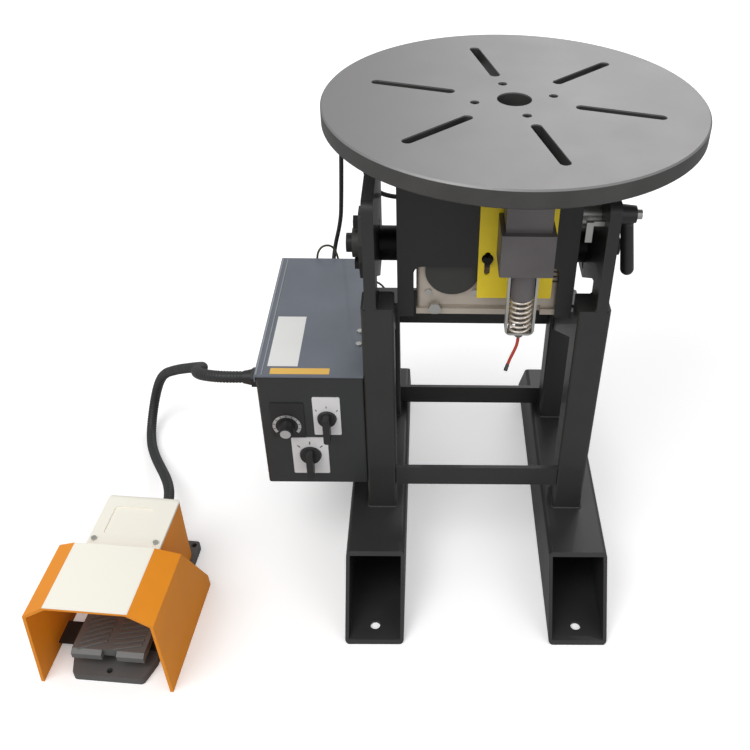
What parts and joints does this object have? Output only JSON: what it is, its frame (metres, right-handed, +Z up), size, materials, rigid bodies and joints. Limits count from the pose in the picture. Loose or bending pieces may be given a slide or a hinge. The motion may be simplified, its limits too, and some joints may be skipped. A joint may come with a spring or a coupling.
{
  "type": "welding positioner",
  "caption": "Tilting and rotating slotted welding table on a two-legged floor frame, with a side control box and a guarded foot switch.",
  "frame": {"origin": "on the floor at the centre of the four floor anchor holes", "axes": "+X to the operator's right, +Y away from the operator, +Z up"},
  "size_m": [0.8242, 0.6292, 0.663],
  "materials": {
    "black_oxide": "black oxide",
    "black_plastic": "moulded",
    "box_paint": "satin grey paint",
    "brush_steel": "dull plated steel",
    "cast_aluminium": "as cast",
    "conduit_plastic": "ribbed",
    "frame_paint": "satin dark grey paint",
    "green_yellow": "smooth",
    "grey_plastic": "moulded",
    "motor_paint": "satin",
    "orange_paint": "gloss",
    "plate_metal": "satin",
    "red_sleeve": "woven",
    "rubber": "matt",
    "table_steel": "turned steel",
    "yellow_zinc": "yellow passivated zinc",
    "zinc": "zinc plated"
  },
  "bodies": {
    "base": {"bearing_bolts": "black_oxide", "bond_lugs": "zinc", "bond_wire": "green_yellow", "box_bolts": "zinc", "cam_switches": "black_plastic", "clamp_spacer": "zinc", "clamp_stud": "zinc", "conduit": "conduit_plastic", "control_box_body": "box_paint", "control_box_lid": "box_paint", "foot_left": "frame_paint", "foot_right": "frame_paint", "front_crossbar": "frame_paint", "front_posts": "frame_paint", "glands": "black_plastic", "lid_gasket": "rubber", "lid_screws": "zinc", "motor_cable": "rubber", "pedal_base": "black_plastic", "pedal_guard": "orange_paint", "pedal_housing": "orange_paint", "pedal_microswitch": "black_plastic", "pedal_pin": "zinc", "pedal_screws": "zinc", "pedal_spring": "zinc", "power_supply": "black_plastic", "rear_cross_member": "frame_paint", "rear_crossbar": "frame_paint", "rear_posts": "frame_paint", "side_plates": "frame_paint", "side_rails": "frame_paint", "speed_dial_plate": "plate_metal", "speed_pot": "black_plastic", "switch_plates": "plate_metal", "tilt_bearings": "motor_paint", "tilt_pointer": "zinc"},
    "head": {"head_frame": "frame_paint", "trunnions": "black_oxide", "table_bearing": "motor_paint", "gearbox_housing": "cast_aluminium", "gearbox_cover": "motor_paint", "motor": "motor_paint", "motor_terminal_box": "motor_paint", "motor_gland": "black_plastic", "head_screws": "zinc", "brush_bracket": "yellow_zinc", "brush_holder": "brush_steel", "brush_strap": "zinc", "brush_spring": "zinc"},
    "turntable": {"table_plate": "table_steel", "table_screws": "zinc", "spindle": "table_steel"},
    "brush": {"brush": "brush_steel", "brush_lead": "red_sleeve"},
    "clamp_lever": {"clamp_lever": "black_plastic"},
    "upper_switch": {"upper_knob": "black_plastic"},
    "lower_switch": {"lower_knob": "black_plastic"},
    "speed_control": {"speed_knob": "black_plastic"},
    "pedal": {"foot_pedal": "grey_plastic"}
  },
  "joints": [
    {"name": "tilt", "type": "hinge", "parent": "base", "child": "head", "pos_m": [0, 0, 0.468], "axis": [1, 0, 0], "range_deg": [0, 90]},
    {"name": "table_spin", "type": "hinge", "parent": "head", "child": "turntable", "pos_m": [0.028, 0, 0.64], "axis": [0, 0, 1], "continuous": true},
    {"name": "brush_slide", "type": "slide", "parent": "head", "child": "brush", "axis": [0, 0, 1], "range_m": [-0.006, 0], "stiffness_N_per_m": 2500, "springref_m": 0.014, "deforming": ["brush_spring"]},
    {"name": "clamp_turn", "type": "hinge", "parent": "base", "child": "clamp_lever", "pos_m": [0.172, -0.06, 0.547], "axis": [1, 0, 0], "range_deg": [-45, 45]},
    {"name": "upper_switch_turn", "type": "hinge", "parent": "base", "child": "upper_switch", "pos_m": [-0.202, -0.125, 0.27], "axis": [0, 1, 0], "range_deg": [-45, 45]},
    {"name": "lower_switch_turn", "type": "hinge", "parent": "base", "child": "lower_switch", "pos_m": [-0.228, -0.125, 0.204], "axis": [0, 1, 0], "range_deg": [-45, 45]},
    {"name": "speed_turn", "type": "hinge", "parent": "base", "child": "speed_control", "pos_m": [-0.256, -0.125, 0.256], "axis": [0, 1, 0], "range_deg": [0, 270]},
    {"name": "pedal_press", "type": "hinge", "parent": "base", "child": "pedal", "pos_m": [-0.47478, -0.24388, 0.034], "axis": [0.9962, -0.0872, 0], "range_deg": [0, 4], "stiffness_Nm_per_rad": 15, "springref_deg": -2.86, "deforming": ["pedal_spring"]}
  ]
}
